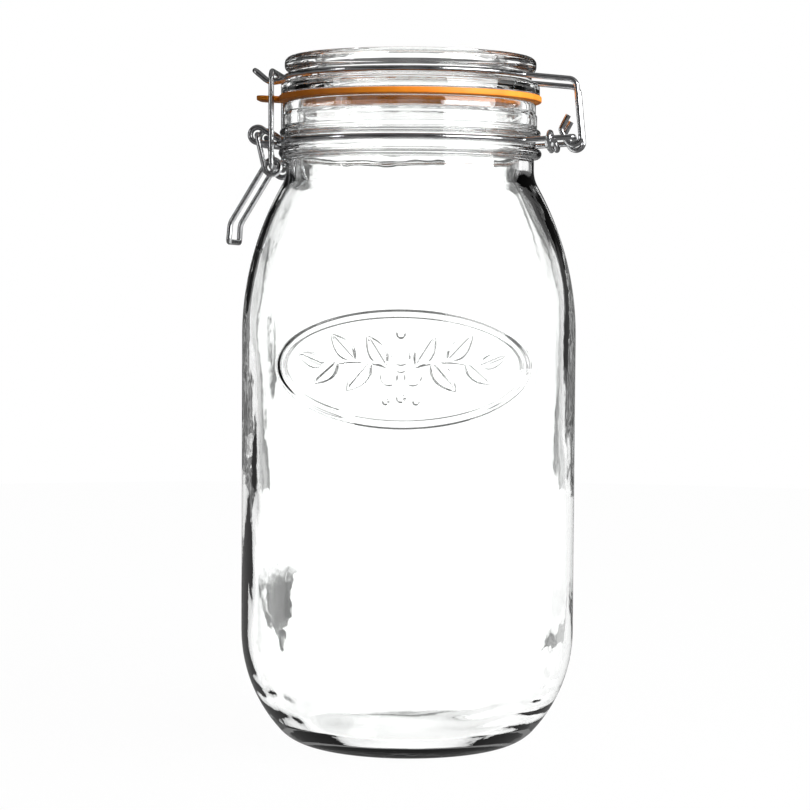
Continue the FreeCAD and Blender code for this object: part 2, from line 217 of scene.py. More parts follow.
def two_tone(tree, value, dark, light):
    """A colour between two, picked by a value from 0 to 1."""
    ramp = tree.nodes.new("ShaderNodeMix")
    ramp.data_type = "RGBA"
    ramp.inputs["A"].default_value = (*dark, 1)
    ramp.inputs["B"].default_value = (*light, 1)
    tree.links.new(value, ramp.inputs["Factor"])
    return ramp.outputs["Result"]


def bumped(tree, shader, value, strength, distance):
    """Lets a value from 0 to 1 tilt the surface, as if it stood out by a distance in metres."""
    bump = tree.nodes.new("ShaderNodeBump")
    bump.inputs["Strength"].default_value = strength
    bump.inputs["Distance"].default_value = distance
    tree.links.new(value, bump.inputs["Height"])
    tree.links.new(bump.outputs["Normal"], shader.inputs["Normal"])


# %% [markdown]
# ### Clear glass
#
# Soda glass is almost colourless, with the faint waves of a moulded surface. It could be a
# mix of a mirror and a see-through shader, but then nothing would bend behind it. Full
# transmission with the true index of refraction lets the closed, thick walls do the work.
# The bump is broad and very weak, so that reflections waver and edges stay crisp.

# %% Glass
def clear_glass():
    material, tree, shader = new_material("clear_glass")
    shader.inputs["Transmission Weight"].default_value = 1.0
    shader.inputs["IOR"].default_value = 1.52
    shader.inputs["Roughness"].default_value = 0.0
    tint = two_tone(tree, mottled(tree, 30, 0, 1), (0.975, 0.985, 0.98), (0.99, 0.995, 0.99))
    tree.links.new(tint, shader.inputs["Base Color"])
    bumped(tree, shader, mottled(tree, 55, 0, 1), strength=0.12, distance=0.0004)
    return material


glass = clear_glass()
print("finish", glass.name)


# %% [markdown]
# ### Drawn steel
#
# The wire is stainless steel pulled through a die, bright but a little dull against a
# mirror. A fully metallic shader needs only a grey colour and some roughness. Both are
# mottled, and a fine grain on top breaks up the highlight that runs along each wire.

# %% Steel
def drawn_steel():
    material, tree, shader = new_material("drawn_steel")
    shader.inputs["Metallic"].default_value = 1.0
    tint = two_tone(tree, mottled(tree, 180, 0, 1), (0.44, 0.44, 0.45), (0.56, 0.56, 0.57))
    tree.links.new(tint, shader.inputs["Base Color"])
    tree.links.new(mottled(tree, 420, 0.10, 0.22), shader.inputs["Roughness"])
    bumped(tree, shader, mottled(tree, 1500, 0, 1), strength=0.15, distance=0.0001)
    return material


steel = drawn_steel()
print("finish", steel.name)


# %% [markdown]
# ### Orange rubber
#
# The sealing ring is natural rubber, orange all through and faintly dusty. Real rubber
# lets a little light in, but it is so thin here that a plain rough shader looks the same
# and renders clean. Its highlight is weak, and a fine grain stands for the dust.

# %% Rubber
def orange_rubber():
    material, tree, shader = new_material("orange_rubber")
    tint = two_tone(tree, mottled(tree, 140, 0, 1), (0.74, 0.20, 0.009), (0.86, 0.27, 0.016))
    tree.links.new(tint, shader.inputs["Base Color"])
    tree.links.new(mottled(tree, 300, 0.42, 0.60), shader.inputs["Roughness"])
    shader.inputs["Specular IOR Level"].default_value = 0.25
    bumped(tree, shader, mottled(tree, 2400, 0, 1), strength=0.3, distance=0.0001)
    return material


rubber = orange_rubber()
print("finish", rubber.name)


# %% [markdown]
# ## The glass body
#
# The body is one piece of glass. Its outline runs from the middle of the hollow base, out
# over the foot ring, up the heel and the straight wall, round the shoulder into the neck
# with its two beads, over the rim, and back down the inside. A cylinder with a Solidify
# modifier would be quicker, but its wall would be even, and the look of a jar comes from
# where the wall isn't: a thick floor, a thick heel and a stepped neck.

# %% Body sizes
body_radius = corners_of("jar_glass")[1][0]
rim_top = corners_of("jar_glass")[1][2]
wall = 3.6
base_thickness = 6.0
punt_height = 3.5
foot_land = 2.5
shoulder_height = 149.3
shoulder_fillet = 12.0
neck_start = 210.0
neck_radius = 45.4
bore_radius = 41.2
bead_base = 214.3
bead_bulge = 2.5
groove_base = 217.7
groove_top = 222.1
groove_radius = 45.9
collar_base = 224.7
collar_top = 230.1
collar_radius = 46.4
collar_bulge = 1.6
collar_edge = 0.5
rim_radius = 45.9
rim_rounding = 0.8

# The shoulder's arc has to end on the fillet that meets the neck at neck_start.
arc_step = neck_radius + shoulder_fillet - body_radius
shoulder_radius = ((arc_step ** 2 + (neck_start - shoulder_height) ** 2 - shoulder_fillet ** 2)
                   / (2 * (shoulder_fillet - arc_step)))
print("body", 2 * body_radius, "mm across,", rim_top, "mm high, shoulder radius", round(shoulder_radius, 1))


# %% Heel, punt, shoulder and rim
def heel(radius, floor, small, big, turn, count):
    """Two arcs from a level floor to a straight wall; returns them and the floor's edge."""
    t = math.radians(turn)
    edge = radius - big * (1 - math.sin(t)) - small * math.sin(t)
    height = floor + small * (1 - math.cos(t)) + big * math.cos(t)
    low = arc((edge, floor + small), small, -90, turn - 90, count)
    high = arc((radius - big, height), big, turn - 90, 0, count)
    return low + high[1:], edge


def punt(edge, base, count=22):
    """From the axis out to the edge of a hollow that is level at both ends."""
    shares = [k / count for k in range(count + 1)]
    return [(edge * t, base + punt_height * (0.5 + 0.5 * math.cos(math.pi * t))) for t in shares]


def shoulder_and_neck(radius, neck, count):
    """The shoulder's arc and the hollow that leads it into a neck, bottom to top."""
    fillet = shoulder_fillet
    middle = body_radius - shoulder_radius
    lean = math.acos((neck - middle + fillet) / (radius + fillet))
    height = shoulder_height + (radius + fillet) * math.sin(lean)
    up = arc((middle, shoulder_height), radius, 0, math.degrees(lean), count)
    hollow = arc((neck + fillet, height), fillet, 180 + math.degrees(lean), 180, 10)
    return up + hollow[1:]


def neck_beads(start):
    """Up the neck from a point: the lower bead, the wire's groove and the collar."""
    low_bead = bow((neck_radius, bead_base), (groove_radius, groove_base), bead_bulge, 12)
    high_bead = bow((groove_radius, groove_top), (collar_radius, collar_base), collar_bulge, 10)
    collar_end = (collar_radius, collar_top - collar_edge)
    return (between(start, low_bead[0], step=1.6)
            + low_bead
            + between((groove_radius, groove_base), (groove_radius, groove_top), step=1.0)
            + high_bead
            + between((collar_radius, collar_base), collar_end, step=1.2)
            + [collar_end])


def rim_outline():
    """Over the rim, from the collar to the top of the bore."""
    outer, inner = rim_radius - rim_rounding, bore_radius + rim_rounding
    level = rim_top - rim_rounding
    return (straight((rim_radius, collar_top), (rim_radius, level), step=1.2)
            + arc((outer, level), rim_rounding, 0, 90, 5)
            + between((outer, rim_top), (inner, rim_top), step=0.8)
            + arc((inner, level), rim_rounding, 90, 180, 5))


# %% Body outline
def outer_outline():
    """From the middle of the base to the top of the bore, along the outside."""
    heel_arcs, foot_edge = heel(body_radius, floor=0, small=15.0, big=54.0, turn=48, count=14)
    shoulder = shoulder_and_neck(shoulder_radius, neck_radius, count=30)
    return (punt(foot_edge - foot_land, base=0)
            + heel_arcs
            + between(heel_arcs[-1], shoulder[0], step=1.7)
            + shoulder
            + neck_beads(shoulder[-1])
            + rim_outline())


def inner_outline():
    """From the top of the bore to the middle of the floor, along the inside."""
    heel_arcs, floor_edge = heel(body_radius - wall, base_thickness, small=14.0, big=46.0,
                                 turn=50, count=34)
    shoulder = shoulder_and_neck(shoulder_radius - wall, bore_radius, count=26)
    return (between((bore_radius, rim_top - rim_rounding), shoulder[-1], step=2.4)
            + shoulder[::-1]
            + between(shoulder[0], heel_arcs[-1], step=2.6)
            + heel_arcs[::-1]
            + punt(floor_edge, base_thickness)[::-1][1:])


outside = outer_outline()
inside = inner_outline()
body = turned(outside + inside)
print("body outline", len(outside), "points outside,", len(inside), "inside")


# %% [markdown]
# ## Waves in the glass
#
# The mould shapes the outside, so that stays true. The inside is shaped by air, so the
# wall is a little thicker here and thinner there. These slow swells are what bends the
# light into the streaks along the sides of a glass jar. A bump would only tilt the light
# at the surface, so the inner points themselves move in and out, by a few sine waves that
# run round the jar and drift with its height, and by two scales of smooth noise. Low down,
# where the glass settled and cooled last, close folds cross the heel.

# %% How the inner wall swells
fold_turn = 0.5


def low_folds(angle, height, cloud):
    """The close waves across the heel, strongest where angle and fold_turn cancel out."""
    settle = math.sin(0.75 * height + 2.6 * math.sin(2 * angle + 0.5) + 3 * cloud)
    fold = math.sin(1.25 * height + 5.0 * math.cos(angle + fold_turn) + 4 * cloud)
    facing = max(0.0, math.cos(angle + fold_turn)) ** 4
    return (0.16 * settle * math.exp(-((height - 17) / 9) ** 2)
            + 0.42 * fold * math.exp(-((height - 14) / 7) ** 2) * facing)


def swell(angle, height):
    """How far the inner wall stands out from its true radius, in millimetres."""
    drift = 0.011 * height
    slow = 0.20 * math.sin(3 * angle + 0.7 + drift) + 0.13 * math.sin(5 * angle + 2.1 - 2 * drift)
    quick = 0.05 * math.sin(11 * angle + 0.4 + 3.1 * drift) + 0.03 * math.sin(17 * angle - 4 * drift)
    cloud = noise.noise(Vector((3 * math.cos(angle), 3 * math.sin(angle), 0.028 * height)))
    fine = noise.noise(Vector((9 * math.cos(angle), 9 * math.sin(angle), 0.05 * height + 7)))
    return slow + quick + 0.30 * cloud + 0.10 * fine + low_folds(angle, height, cloud)


print("swell at mid height, four sides", [round(swell(k * math.pi / 2, 100), 2) for k in range(4)])


# %% Let the inside swell
bore_top = 226
floor_middle = 8
heel_top = 60


def on_inside(vert):
    """True on the inner wall, between the floor and the neck's bore."""
    radius = math.hypot(vert.co.x, vert.co.y)
    if radius < floor_middle or not base_thickness <= vert.co.z <= bore_top:
        return False
    normal = vert.normal
    faces_in = normal.x * vert.co.x + normal.y * vert.co.y < -0.05 * radius
    faces_up = normal.z > 0.2 and vert.co.z < heel_top and radius < body_radius - 2.4 * wall
    return faces_in or faces_up


body.normal_update()
inner = [vert for vert in body.verts if on_inside(vert)]
shifts = []
for vert in inner:
    angle = math.atan2(vert.co.y, vert.co.x)
    calm_floor = fade(vert.co.z, base_thickness + 1, 24)
    calm_neck = 1 - 0.75 * fade(vert.co.z, 190, 224)
    shift = swell(angle, vert.co.z) * calm_floor * calm_neck
    vert.co.x += shift * math.cos(angle)
    vert.co.y += shift * math.sin(angle)
    shifts.append(shift)
print(len(inner), "inner points moved by", round(min(shifts), 2), "to", round(max(shifts), 2), "mm")


# %% [markdown]
# ## The pressed ornament
#
# The front of the body carries an ornament that is part of the glass, cut into the mould
# and so raised on the jar. It is an oval line with a finer line inside it, round a sprig
# of leaves and berries. It could be carved with booleans, but cut edges would be sharp, and
# pressed glass never is. So the ornament is a height at each place across the front, made
# of rounded ridges, blades and domes, of which the highest counts.

# %% Ridges and the oval
oval_turn = 3.0
oval_centre = shoulder_height - 9.5
oval_half_width = body_radius * math.sin(math.radians(47))
oval_half_height = 21.0
ornament_rise = 0.66


def ridge(distance, half_width):
    """A rounded ridge: 1 on its line, 0 from half_width out."""
    t = abs(distance) / half_width
    return 0.0 if t >= 1 else (1 - t * t) ** 1.5


def oval_distance(x, z, inset):
    """Roughly how far a point is outside the oval drawn inset by so much."""
    a = oval_half_width - inset
    b = oval_half_height - inset
    level = math.hypot(x / a, z / b)
    slope = math.hypot(x / (a * a), z / (b * b))
    return (level - 1) * level / max(slope, 1e-6)


def in_oval(x, z, margin):
    """True inside the oval grown by a margin."""
    return math.hypot(x / (oval_half_width + margin), z / (oval_half_height + margin)) < 1


print("oval", round(2 * oval_half_width, 1), "by", 2 * oval_half_height, "mm, at height", oval_centre)


# %% Leaves, berries and stalks
def leaf(x, z, foot, heading, length, width):
    """A leaf from its foot along a heading in degrees: a raised blade with a midrib."""
    a = math.radians(heading)
    along = (x - foot[0]) * math.cos(a) + (z - foot[1]) * math.sin(a)
    across = -(x - foot[0]) * math.sin(a) + (z - foot[1]) * math.cos(a)
    t = along / length
    if t <= 0 or t >= 1:
        return 0.0
    half = width / 2 * math.sin(math.pi * t ** 0.8) ** 0.85
    edge = half - abs(across)
    if edge <= 0:
        return 0.0
    blade = 0.95 * fade(edge, 0, 0.75)
    midrib = 0.9 * ridge(across, 0.6) * fade(t, 0, 0.1) * (1 - fade(t, 0.8, 0.95))
    return max(0.0, blade - midrib)


def berry(x, z, centre, radius):
    """A dome."""
    d = math.dist((x, z), centre) / radius
    return 0.0 if d >= 1 else 0.95 * math.sqrt(1 - d * d)


def stalk(x, z, half):
    """The two stalks that curve out from the middle, each as long as half."""
    reach = abs(x)
    if reach > half:
        return 0.0
    line = 3.4 * math.sin(math.pi * reach / half) - 1.2
    return 0.6 * ridge(z - line, 0.75) * (1 - fade(reach, half - 3, half))


right_leaves = [((5.2, 0.6), 58, 12.5, 6.6), ((10.5, 1.6), -50, 13.0, 6.8), ((16.0, 2.4), 47, 12.5, 6.4),
                ((22.0, 1.6), -42, 11.5, 6.0), ((26.5, 0.4), 22, 11.0, 5.4)]
left_leaves = [((-foot[0], foot[1]), 180 - heading, length, width)
               for foot, heading, length, width in right_leaves]
leaves = right_leaves + left_leaves
berries = [((0, 4.0), 3.3), ((-4.1, -3.2), 3.1), ((4.1, -3.2), 3.1),
           ((0, -10.4), 1.6), ((0, 11.6), 1.6), ((-5.2, -11.6), 1.2), ((5.2, -11.6), 1.2)]
print("sprig of", len(leaves), "leaves and", len(berries), "berries")


# %% The whole ornament
stalk_length = 30.5
sprig_half_width = 38
sprig_half_height = 17


def ornament(x, z):
    """Height of the ornament, 0 to 1, at x across and z above its centre."""
    if not in_oval(x, z, margin=1):
        return 0.0
    heights = [ridge(oval_distance(x, z, inset=0.8), 0.95),
               0.55 * ridge(oval_distance(x, z, inset=3.3), 0.7)]
    if abs(x) < sprig_half_width and abs(z) < sprig_half_height:
        heights.append(stalk(x, z, stalk_length))
        heights += [berry(x, z, centre, radius) for centre, radius in berries]
        heights += [leaf(x, z, *item) for item in leaves]
    return max(heights)


print("ornament height on a berry", round(ornament(0, 4.0), 2), "and beside it", round(ornament(0, 8.5), 2))


# %% [markdown]
# ## Press the ornament into the wall
#
# The wall's faces are far too coarse for a leaf's midrib, and a body that fine all round
# would be too heavy. So only the faces inside the oval are cut finer. Their points are
# then laid back on the true round radius, because cutting a face keeps it flat, and each
# one is lifted by the height of the ornament at that place.

# %% Press the ornament
patch_cuts = 5
patch_half_height = 24


def outer_radius(height):
    """True outer radius of the body between the heel and the neck."""
    if height <= shoulder_height:
        return body_radius
    rise = height - shoulder_height
    return body_radius - shoulder_radius + math.sqrt(shoulder_radius ** 2 - rise ** 2)


def in_patch(face):
    """True for an outer face inside the oval or just past it."""
    middle = face.calc_center_median()
    if abs(middle.z - oval_centre) > patch_half_height or math.hypot(middle.x, middle.y) < body_radius - 2.2:
        return False
    away = math.atan2(middle.x, -middle.y) - math.radians(oval_turn)
    return abs(away) < 1 and in_oval(body_radius * math.sin(away), middle.z - oval_centre, margin=1.6)


patch = {face for face in body.faces if in_patch(face)}
patch_edges = [edge for edge in body.edges if any(face in patch for face in edge.link_faces)]
made = bmesh.ops.subdivide_edges(body, edges=patch_edges, cuts=patch_cuts, use_grid_fill=True)
patch_verts = {item for key in ("geom_split", "geom_inner") for item in made[key]
               if isinstance(item, bmesh.types.BMVert)}
patch_verts |= {vert for edge in patch_edges if edge.is_valid for vert in edge.verts}
for vert in patch_verts:
    angle = math.atan2(vert.co.x, -vert.co.y)
    across = math.sin(angle - math.radians(oval_turn)) * outer_radius(vert.co.z)
    radius = outer_radius(vert.co.z) + ornament_rise * ornament(across, vert.co.z - oval_centre)
    vert.co.x = radius * math.sin(angle)
    vert.co.y = -radius * math.cos(angle)
print(len(patch), "faces cut finer,", len(patch_verts), "points laid on the ornament")


# %% [markdown]
# ## The body as a piece
#
# The shell becomes an object that stands at the origin. It takes the place of the plain
# jar and rides on the body that stays still.

# %% The body as a piece
body_piece = finished("glass_body", body, glass)
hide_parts("jar_glass")
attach(body_piece, "jar")


# %% [markdown]
# ## The lid
#
# The lid is pressed glass, thick enough to weigh on the ring. From below, its outline goes
# over the solid plug that reaches into the mouth, out along the flat that rests on the
# ring, up the skirt, into the groove that holds the wire, round the thick flange, and down
# into the dish in its top. It is turned in one piece like the body, because the glow of
# its edges comes from light that runs through all of it.

# %% Lid sizes
ring_top = 236.8
lid_top = corners_of("lid_glass")[1][2]
skirt_radius = corners_of("lid_glass")[1][0]
skirt_top = 241.4
skirt_shoulder = skirt_top - 1.4
skirt_edge = 0.5
skirt_rounding = 1.0
lid_groove_radius = 44.3
lid_groove_rounding = 0.8
flange_bottom = 245.2
flange_radius = 46.0
flange_rounding = 2.3
plug_radius = 38.4
plug_bottom = corners_of("lid_glass")[0][2]
plug_rounding = 1.2
dish_radius = 33.0
dish_floor = lid_top - 12.8
dish_edge = 1.0
dish_taper = 1.6
dish_corner = 3.0
print("lid", 2 * skirt_radius, "mm across, from", plug_bottom, "to", lid_top)


# %% Lid outline
def plug_and_skirt():
    """From the axis under the plug to the top of the skirt."""
    plug_edge = plug_radius - plug_rounding
    skirt_inner = skirt_radius - skirt_rounding
    return (straight((0, plug_bottom), (plug_edge, plug_bottom), step=3.0)
            + arc((plug_edge, plug_bottom + plug_rounding), plug_rounding, -90, 0, 5)
            + between((plug_radius, plug_bottom + plug_rounding), (plug_radius, ring_top), step=0.6)
            + straight((plug_radius, ring_top), (skirt_radius - skirt_edge, ring_top), step=1.0)
            + arc((skirt_radius - skirt_edge, ring_top + skirt_edge), skirt_edge, -90, 0, 4)
            + between((skirt_radius, ring_top + skirt_edge), (skirt_radius, skirt_shoulder), step=0.8)
            + arc((skirt_inner, skirt_shoulder), skirt_rounding, 0, 80, 6)
            + between((skirt_inner, skirt_top - 0.3), (lid_groove_radius + 0.6, skirt_top), step=0.7))


def groove_and_flange():
    """From the wire's groove round the flange to its flat top."""
    groove_floor = skirt_top + lid_groove_rounding
    flange_inner = flange_radius - flange_rounding
    flange_low = flange_bottom + flange_rounding
    flange_high = lid_top - flange_rounding
    return (arc((lid_groove_radius + lid_groove_rounding, groove_floor), lid_groove_rounding, -90, -180, 5)
            + between((lid_groove_radius, groove_floor), (lid_groove_radius, flange_bottom), step=0.6)
            + between((lid_groove_radius, flange_bottom), (flange_inner + 0.9, flange_bottom), step=0.4)
            + arc((flange_inner, flange_low), flange_rounding, -65, 0, 8)
            + between((flange_radius, flange_low), (flange_radius, flange_high), step=0.4)
            + arc((flange_inner, flange_high), flange_rounding, 0, 90, 10))


def lid_dish():
    """From the flange's flat top down the tapered dish to the axis."""
    mouth = dish_radius + dish_taper
    corner = dish_radius - dish_corner
    return (between((flange_radius - flange_rounding, lid_top), (mouth + dish_edge, lid_top), step=1.2)
            + arc((mouth + dish_edge, lid_top - dish_edge), dish_edge, 90, 165, 5)
            + between((mouth, lid_top - 1.2), (dish_radius, dish_floor + dish_corner), step=1.0)
            + arc((corner, dish_floor + dish_corner), dish_corner, 0, -90, 8)
            + between((corner, dish_floor), (0, dish_floor), step=3.0)
            + [(0, dish_floor)])


# %% The lid as a piece
lid_piece = finished("glass_lid", turned(plug_and_skirt() + groove_and_flange() + lid_dish()), glass)
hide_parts("lid_glass")
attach(lid_piece, "lid")


# %% [markdown]
# ## The rubber ring
#
# The ring is moulded rubber: a flat band with softened edges, and a short lip that stands
# down inside the mouth and keeps it centred. A tab stands out under the clip: pulling it
# lets air in and frees a lid that has sealed. The band is turned, and the tab is a cube
# shaped and bevelled beside it in the same mesh, rooted inside the band. The band's top
# keeps a hair's breadth of air under the lid, because glass that touched it would show
# its orange in every facet.

# %% Ring sizes
ring_radius = corners_of("rubber_ring")[1][0]
ring_bottom = 234.6
ring_bore = plug_radius + 0.2
ring_rounding = 0.45
air_gap = 0.05
lip_bottom = corners_of("rubber_ring")[0][2]
lip_radius = 40.2
tab_reach = -corners_of("rubber_ring")[0][0]
tab_half_width = 6.5
tab_thickness = 1.75
tab_root_lift = 0.25
tab_end_lift = 0.7
tab_corner = 3.0
tab_edge = 0.4
print("ring", 2 * ring_radius, "mm across, its tab reaches", tab_reach, "and its lip", lip_bottom)


# %% Ring section and tab
def ring_section():
    """The band and its lip, from the band's lower outer corner all the way round."""
    r = ring_rounding
    low, high = ring_bottom, ring_top - air_gap
    return (arc((ring_radius - r, low + r), r, -90, 0, 4)
            + arc((ring_radius - r, high - r), r, 0, 90, 4)
            + arc((ring_bore + r, high - r), r, 90, 180, 4)
            + arc((ring_bore + r, lip_bottom + r), r, 180, 270, 4)
            + arc((lip_radius - r, lip_bottom + r), r, 270, 360, 4)
            + [(lip_radius, low)])


def add_tab(shell):
    """The pull tab: a flat box that rises a little outward, with round corners and soft edges."""
    root_x, end_x = -ring_radius + 1.8, -tab_reach
    tab = bmesh.ops.create_cube(shell, size=1.0)["verts"]
    for vert in tab:
        at_root = vert.co.x > 0
        lift = tab_root_lift if at_root else tab_end_lift
        vert.co.z = ring_bottom + lift + (tab_thickness if vert.co.z > 0 else 0.0)
        vert.co.x = root_x if at_root else end_x
        vert.co.y *= 2 * tab_half_width

    def all_at(edge, x):
        return all(abs(vert.co.x - x) < 0.01 for vert in edge.verts)

    corners = [edge for edge in shell.edges
               if all_at(edge, end_x) and abs(edge.verts[0].co.z - edge.verts[1].co.z) > 1]
    bmesh.ops.bevel(shell, geom=corners, offset=tab_corner, offset_type="OFFSET", segments=6,
                    profile=0.5, affect="EDGES", material=-1)

    def on_tab(vert):
        return vert.co.x < -ring_radius - 0.01 or abs(vert.co.x - root_x) < 0.01

    rims = [edge for edge in shell.edges
            if all(on_tab(vert) for vert in edge.verts) and not all_at(edge, root_x)
            and len(edge.link_faces) == 2 and edge.calc_face_angle(0) > 0.9]
    bmesh.ops.bevel(shell, geom=rims, offset=tab_edge, offset_type="OFFSET", segments=3,
                    profile=0.5, affect="EDGES", material=-1)
    bmesh.ops.recalc_face_normals(shell, faces=shell.faces)


# %% The ring as a piece
ring = turned(ring_section(), closed=True)
add_tab(ring)
ring_piece = finished("sealing_ring", ring, rubber)
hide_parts("rubber_ring")
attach(ring_piece, "lid")


# %% [markdown]
# ## The wires
#
# Every wire is two-millimetre stainless steel, bent on a jig. Curves with a round bevel
# could be drawn again, but the wires' paths decide how the jar opens, so their shapes are
# taken straight from the construction model. Its faces are loose triangles: a copy is
# joined at its shared points, so that the wire shades round, and only the sharp edges of
# its cut ends stay sharp.

# %% Wires
wires = (("neck_wire", "neck_wire_round", "jar"), ("hinge_tie", "hinge_tie_wire", "jar"),
         ("lid_wire", "lid_wire_round", "lid"), ("clip_lever", "clip_lever_wire", "lever"),
         ("clip_link", "clip_link_wire", "link"))
sharp_turn = 0.8
for node, name, owner in wires:
    shell = bmesh.new()
    shell.from_mesh(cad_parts[node].data)
    bmesh.ops.scale(shell, vec=(1 / mm, 1 / mm, 1 / mm), verts=shell.verts)
    bmesh.ops.remove_doubles(shell, verts=shell.verts, dist=same_point)
    shell.normal_update()
    for edge in shell.edges:
        edge.smooth = edge.calc_face_angle(0) < sharp_turn
    wire = finished(name, shell, steel)
    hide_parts(node)
    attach(wire, owner)


# %% [markdown]
# ## Finishes on the construction model
#
# The construction model's own nodes are hidden now, but they keep their place in the file.
# Each takes the finish of the piece that stands for it, so that it isn't grey when shown.

# %% Finish the hidden nodes
finishes = {"jar_glass": glass, "lid_glass": glass, "rubber_ring": rubber}
for node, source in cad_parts.items():
    source.data.materials.clear()
    source.data.materials.append(finishes.get(node, steel))
print(len(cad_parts), "hidden nodes have their finish")


# %% [markdown]
# ## Surroundings
#
# Clear glass shows best on white with black cards at the sides: the white shines straight
# through, and the glass bends its own edges to where the cards stand, which draws them
# dark. Real cards would stand in the way of other views. A world shader can stand them all
# the way round instead, and keep the backdrop white for the camera, so the jar reads as
# glass from every side. It shows each kind of ray its own surroundings: plain white to the
# camera, cards to rays that were mirrored or bent by the glass, and one soft light from
# the right to rough surfaces.

# %% Node helpers
def math_node(tree, operation, *values):
    """One step of arithmetic on numbers or sockets."""
    node = tree.nodes.new("ShaderNodeMath")
    node.operation = operation
    for k, value in enumerate(values):
        if isinstance(value, (int, float)):
            node.inputs[k].default_value = value
        else:
            tree.links.new(value, node.inputs[k])
    return node.outputs[0]


def span_node(tree, value, before, after, smooth=True):
    """Spreads a value from one span of two numbers to another, and holds it there."""
    node = tree.nodes.new("ShaderNodeMapRange")
    node.interpolation_type = "SMOOTHSTEP" if smooth else "LINEAR"
    tree.links.new(value, node.inputs["Value"])
    for name, number in zip(("From Min", "From Max", "To Min", "To Max"), before + after):
        node.inputs[name].default_value = number
    return node.outputs["Result"]


def mixed(tree, share, plain, other):
    """Two shaders mixed: all plain where share is 0, all other where it is 1."""
    node = tree.nodes.new("ShaderNodeMixShader")
    tree.links.new(share, node.inputs["Fac"])
    tree.links.new(plain, node.inputs[1])
    tree.links.new(other, node.inputs[2])
    return node.outputs["Shader"]


def unevenly_round(tree, place, scale, detail, sway):
    """The angle of a place round the jar, swayed by a noise, and the place's height."""
    split = tree.nodes.new("ShaderNodeSeparateXYZ")
    tree.links.new(place, split.inputs["Vector"])
    wobble = tree.nodes.new("ShaderNodeTexNoise")
    wobble.inputs["Scale"].default_value = scale
    wobble.inputs["Detail"].default_value = detail
    tree.links.new(place, wobble.inputs["Vector"])
    turn = math_node(tree, "ARCTAN2", split.outputs["X"], split.outputs["Y"])
    swayed = span_node(tree, wobble.outputs["Fac"], (0.3, 0.7), (-sway, sway), smooth=False)
    return math_node(tree, "ADD", turn, swayed), split.outputs["Z"]


def glow_through(tree, path):
    """How strongly surroundings shine: 1.3 through glass, 0.2 when only mirrored."""
    return math_node(tree, "MULTIPLY_ADD", path.outputs["Is Transmission Ray"], 1.1, 0.2)


def before_rough(tree, path):
    """1 until a ray has met a rough surface, and 0 from then on."""
    return math_node(tree, "LESS_THAN", path.outputs["Diffuse Depth"], 0.5)


# %% Cards all the way round
view_turn = 5.5
card_count = 8
darkest_card = 0.10


def cards(tree, direction):
    """Light and dark round the jar for a direction: 1 on white boxes, low on black cards."""
    turn, height = unevenly_round(tree, direction, scale=5.0, detail=3.0, sway=0.05)
    offset = card_count * math.radians(view_turn)
    wave = math_node(tree, "COSINE", math_node(tree, "MULTIPLY_ADD", turn, float(card_count), offset))
    boxes = span_node(tree, wave, (-0.40, -0.05), (0.0, 1.0))
    grain = math_node(tree, "SINE", math_node(tree, "MULTIPLY", turn, 60.0))
    card = span_node(tree, grain, (-0.2, 0.9), (darkest_card, 0.42))
    side = math_node(tree, "MAXIMUM", boxes, card)
    near_level = span_node(tree, height, (0.14, 0.20), (1.0, 0.0))
    ceiling = span_node(tree, height, (0.52, 0.66), (0.0, 1.0))
    side = math_node(tree, "MULTIPLY", side, near_level)
    return math_node(tree, "MAXIMUM", math_node(tree, "MAXIMUM", side, ceiling), darkest_card)


# %% World
soft_direction = Vector((0.96, -0.10, 0.26)).normalized()
soft_weakest, soft_strongest = 0.02, 2.2


def background(tree):
    """A white background shader."""
    shader = tree.nodes.new("ShaderNodeBackground")
    shader.inputs["Color"].default_value = (1, 1, 1, 1)
    return shader


def soft_light(tree, direction):
    """A broad soft light from the right, for rough surfaces."""
    lit = tree.nodes.new("ShaderNodeVectorMath")
    lit.operation = "DOT_PRODUCT"
    tree.links.new(direction, lit.inputs[0])
    lit.inputs[1].default_value = soft_direction
    soft = background(tree)
    strength = span_node(tree, lit.outputs["Value"], (0.2, 1.0), (soft_weakest, soft_strongest))
    tree.links.new(strength, soft.inputs["Strength"])
    return soft.outputs[0]


def studio_world():
    """White to the camera, cards to glass and steel, a soft light to the rest."""
    world = bpy.data.worlds.new("studio")
    bpy.context.scene.world = world
    world.use_nodes = True
    tree = world.node_tree
    tree.nodes.clear()
    direction = tree.nodes.new("ShaderNodeTexCoord").outputs["Generated"]
    path = tree.nodes.new("ShaderNodeLightPath")
    around = background(tree)
    strength = math_node(tree, "MULTIPLY", cards(tree, direction), glow_through(tree, path))
    tree.links.new(strength, around.inputs["Strength"])
    sharp = math_node(tree, "MAXIMUM", path.outputs["Is Glossy Ray"], path.outputs["Is Transmission Ray"])
    sharp = math_node(tree, "MULTIPLY", sharp, before_rough(tree, path))
    unseen = mixed(tree, sharp, soft_light(tree, direction), around.outputs[0])
    whole = mixed(tree, path.outputs["Is Camera Ray"], unseen, background(tree).outputs[0])
    out = tree.nodes.new("ShaderNodeOutputWorld")
    tree.links.new(whole, out.inputs["Surface"])
    return world


world = studio_world()
print("world", world.name, "with", card_count, "cards and", len(world.node_tree.nodes), "nodes")


# %% [markdown]
# ## The table
#
# The jar stands on a wide white table that runs on into the backdrop. A plain white
# material would go grey away from the lamps, so most of its white is emitted. Like the
# backdrop, it carries dark strips that only bent or mirrored rays meet: they lie off to
# the sides, so they darken the heel's edges and leave its middle clear.

# %% Dark strips on the table
strip_inner, strip_outer = (0.049, 0.052), (0.42, 0.52)
strip_lean = -0.0875
strip_depth = -0.94


